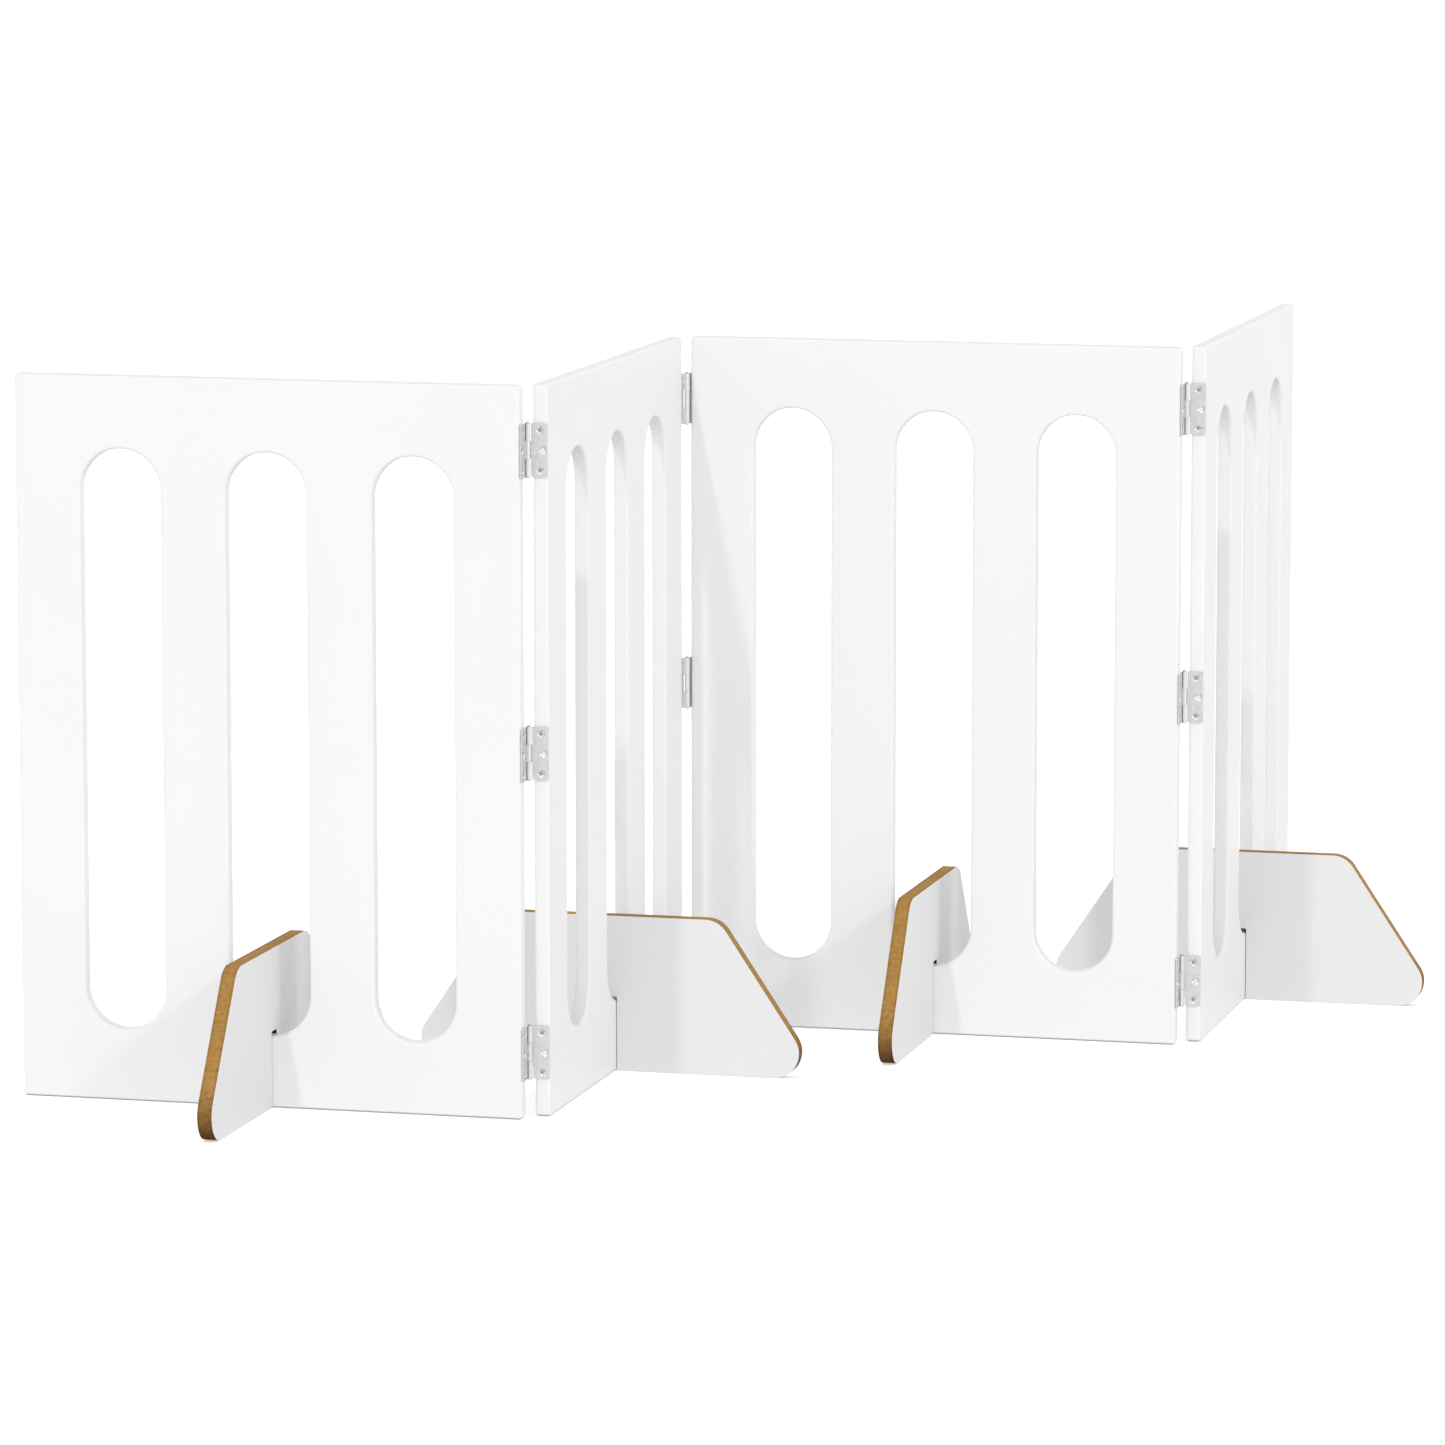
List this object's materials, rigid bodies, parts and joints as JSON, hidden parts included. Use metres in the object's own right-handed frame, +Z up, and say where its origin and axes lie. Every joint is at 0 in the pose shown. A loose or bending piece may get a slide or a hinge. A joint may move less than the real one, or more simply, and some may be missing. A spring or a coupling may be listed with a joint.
{
  "type": "pet gate",
  "caption": "Free-standing folding pet gate of slotted white boards joined by butt hinges in a zig-zag, each board held upright by a lift-off foot plate.",
  "frame": {"origin": "on the floor under the middle of the gate's bounding box", "axes": "+Z up; boards 1 and 3 along X, boards 2 and 4 along Y; -Y is the front"},
  "size_m": [1.235, 1.235, 0.7],
  "materials": {
    "paint": "satin white paint",
    "foot_board": "white faces, raw brown fibreboard edges",
    "zinc": "zinc plated",
    "pin_steel": "zinc plated",
    "screw_steel": "zinc plated"
  },
  "bodies": {
    "board_1": {"panel_1": "paint", "h12_top_leaf_a": "zinc", "h12_top_screw_a1": "screw_steel", "h12_top_screw_a2": "screw_steel", "h12_top_pin": "pin_steel", "h12_mid_leaf_a": "zinc", "h12_mid_screw_a1": "screw_steel", "h12_mid_screw_a2": "screw_steel", "h12_mid_pin": "pin_steel", "h12_low_leaf_a": "zinc", "h12_low_screw_a1": "screw_steel", "h12_low_screw_a2": "screw_steel", "h12_low_pin": "pin_steel"},
    "board_2": {"panel_2": "paint", "h12_top_leaf_b": "zinc", "h12_top_screw_b1": "screw_steel", "h12_top_screw_b2": "screw_steel", "h12_mid_leaf_b": "zinc", "h12_mid_screw_b1": "screw_steel", "h12_mid_screw_b2": "screw_steel", "h12_low_leaf_b": "zinc", "h12_low_screw_b1": "screw_steel", "h12_low_screw_b2": "screw_steel", "h23_top_leaf_a": "zinc", "h23_top_pin": "pin_steel", "h23_mid_leaf_a": "zinc", "h23_mid_pin": "pin_steel", "h23_low_leaf_a": "zinc", "h23_low_pin": "pin_steel"},
    "board_3": {"panel_3": "paint", "h23_top_leaf_b": "zinc", "h23_mid_leaf_b": "zinc", "h23_low_leaf_b": "zinc", "h34_top_leaf_a": "zinc", "h34_top_screw_a1": "screw_steel", "h34_top_screw_a2": "screw_steel", "h34_top_pin": "pin_steel", "h34_mid_leaf_a": "zinc", "h34_mid_screw_a1": "screw_steel", "h34_mid_screw_a2": "screw_steel", "h34_mid_pin": "pin_steel", "h34_low_leaf_a": "zinc", "h34_low_screw_a1": "screw_steel", "h34_low_screw_a2": "screw_steel", "h34_low_pin": "pin_steel"},
    "board_4": {"panel_4": "paint", "h34_top_leaf_b": "zinc", "h34_top_screw_b1": "screw_steel", "h34_top_screw_b2": "screw_steel", "h34_mid_leaf_b": "zinc", "h34_mid_screw_b1": "screw_steel", "h34_mid_screw_b2": "screw_steel", "h34_low_leaf_b": "zinc", "h34_low_screw_b1": "screw_steel", "h34_low_screw_b2": "screw_steel"},
    "foot_1_body": {"foot_1": "foot_board"},
    "foot_2_body": {"foot_2": "foot_board"},
    "foot_3_body": {"foot_3": "foot_board"},
    "foot_4_body": {"foot_4": "foot_board"}
  },
  "joints": [
    {"name": "fold_12", "type": "hinge", "parent": "board_2", "child": "board_1", "pos_m": [-0.11468, -0.41392, 0.3495], "axis": [0, 0, -1], "range_deg": [-90, 18]},
    {"name": "fold_23", "type": "hinge", "parent": "board_2", "child": "board_3", "pos_m": [-0.09168, 0.09168, 0.3495], "axis": [0, 0, -1], "range_deg": [-90, 17]},
    {"name": "fold_34", "type": "hinge", "parent": "board_3", "child": "board_4", "pos_m": [0.41392, 0.11468, 0.3495], "axis": [0, 0, 1], "range_deg": [-90, 18]},
    {"name": "foot_1_lift", "type": "slide", "parent": "board_1", "child": "foot_1_body", "axis": [0, 0, 1], "range_m": [0, 0.12]},
    {"name": "foot_2_lift", "type": "slide", "parent": "board_2", "child": "foot_2_body", "axis": [0, 0, 1], "range_m": [0, 0.12]},
    {"name": "foot_3_lift", "type": "slide", "parent": "board_3", "child": "foot_3_body", "axis": [0, 0, 1], "range_m": [0, 0.12]},
    {"name": "foot_4_lift", "type": "slide", "parent": "board_4", "child": "foot_4_body", "axis": [0, 0, 1], "range_m": [0, 0.12]}
  ]
}
